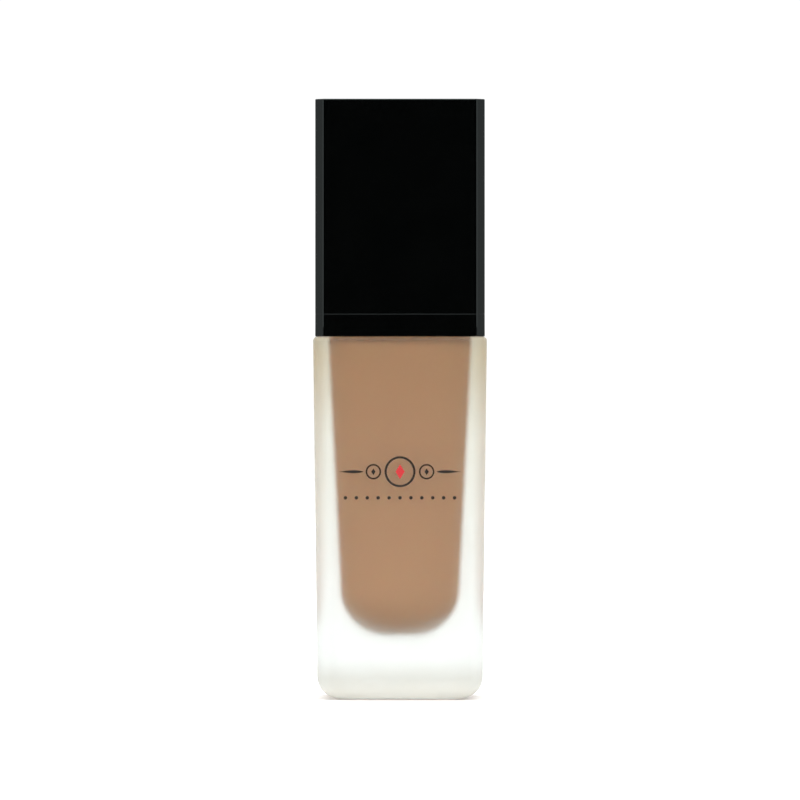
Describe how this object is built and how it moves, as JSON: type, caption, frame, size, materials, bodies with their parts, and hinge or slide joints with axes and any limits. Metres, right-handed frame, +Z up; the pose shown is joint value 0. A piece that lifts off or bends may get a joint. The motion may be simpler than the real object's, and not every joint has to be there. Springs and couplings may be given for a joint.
{
  "type": "pump foundation bottle",
  "caption": "Square frosted-glass cosmetic bottle with a thick base, beige contents, a screw-on treatment pump with a round collar upstand, and a tall glossy black square overcap.",
  "frame": {"origin": "middle of the base, on the surface it stands on", "axes": "+Z up along the bottle, front face towards -Y, +X to the front view's right"},
  "size_m": [0.0326, 0.0326, 0.113],
  "materials": {
    "frosted_glass": "frosted outside, clear inside",
    "foundation": "creamy liquid",
    "black_gloss": "piano black",
    "black_satin": "satin moulding",
    "natural_plastic": "milky unpigmented",
    "white_plastic": "white moulding",
    "soft_seal": "soft foam",
    "steel": "drawn stainless wire"
  },
  "bodies": {
    "bottle": {"glass_bottle": "frosted_glass", "foundation_fill": "foundation"},
    "pump_unit": {"pump_housing": "natural_plastic", "neck_gasket": "soft_seal", "dip_tube": "natural_plastic", "turret_ring": "white_plastic"},
    "inlet_valve": {"inlet_ball": "steel"},
    "closure": {"screw_closure": "white_plastic", "square_collar": "black_gloss"},
    "overcap": {"overcap_shell": "black_gloss", "overcap_liner": "black_satin"},
    "plunger": {"piston": "natural_plastic", "piston_seat": "natural_plastic", "return_spring": "steel"},
    "head": {"stem": "white_plastic", "actuator_button": "black_gloss", "nozzle_insert": "white_plastic"}
  },
  "joints": [
    {"name": "pump_rise", "type": "slide", "parent": "bottle", "child": "pump_unit", "axis": [0, 0, 1], "range_m": [0, 0.0048]},
    {"name": "closure_turn", "type": "hinge", "parent": "pump_unit", "child": "closure", "pos_m": [0, 0, 0.0683], "axis": [0, 0, 1], "range_deg": [0, 540]},
    {"name": "overcap_lift", "type": "slide", "parent": "closure", "child": "overcap", "axis": [0, 0, 1], "range_m": [0, 0.045]},
    {"name": "inlet_ball_lift", "type": "slide", "parent": "pump_unit", "child": "inlet_valve", "axis": [0, 0, 1], "range_m": [0, 0.0008]},
    {"name": "pump_press", "type": "slide", "parent": "pump_unit", "child": "plunger", "axis": [0, 0, -1], "range_m": [0, 0.0045], "stiffness_N_per_m": 800, "springref_m": -0.006, "deforming": ["return_spring"]},
    {"name": "head_swivel", "type": "hinge", "parent": "plunger", "child": "head", "pos_m": [0, 0, 0.1], "axis": [0, 0, 1], "continuous": true}
  ],
  "couplings": [
    {"joint": "pump_rise", "follows": "closure_turn", "m_per_rad": 0.00050611}
  ]
}
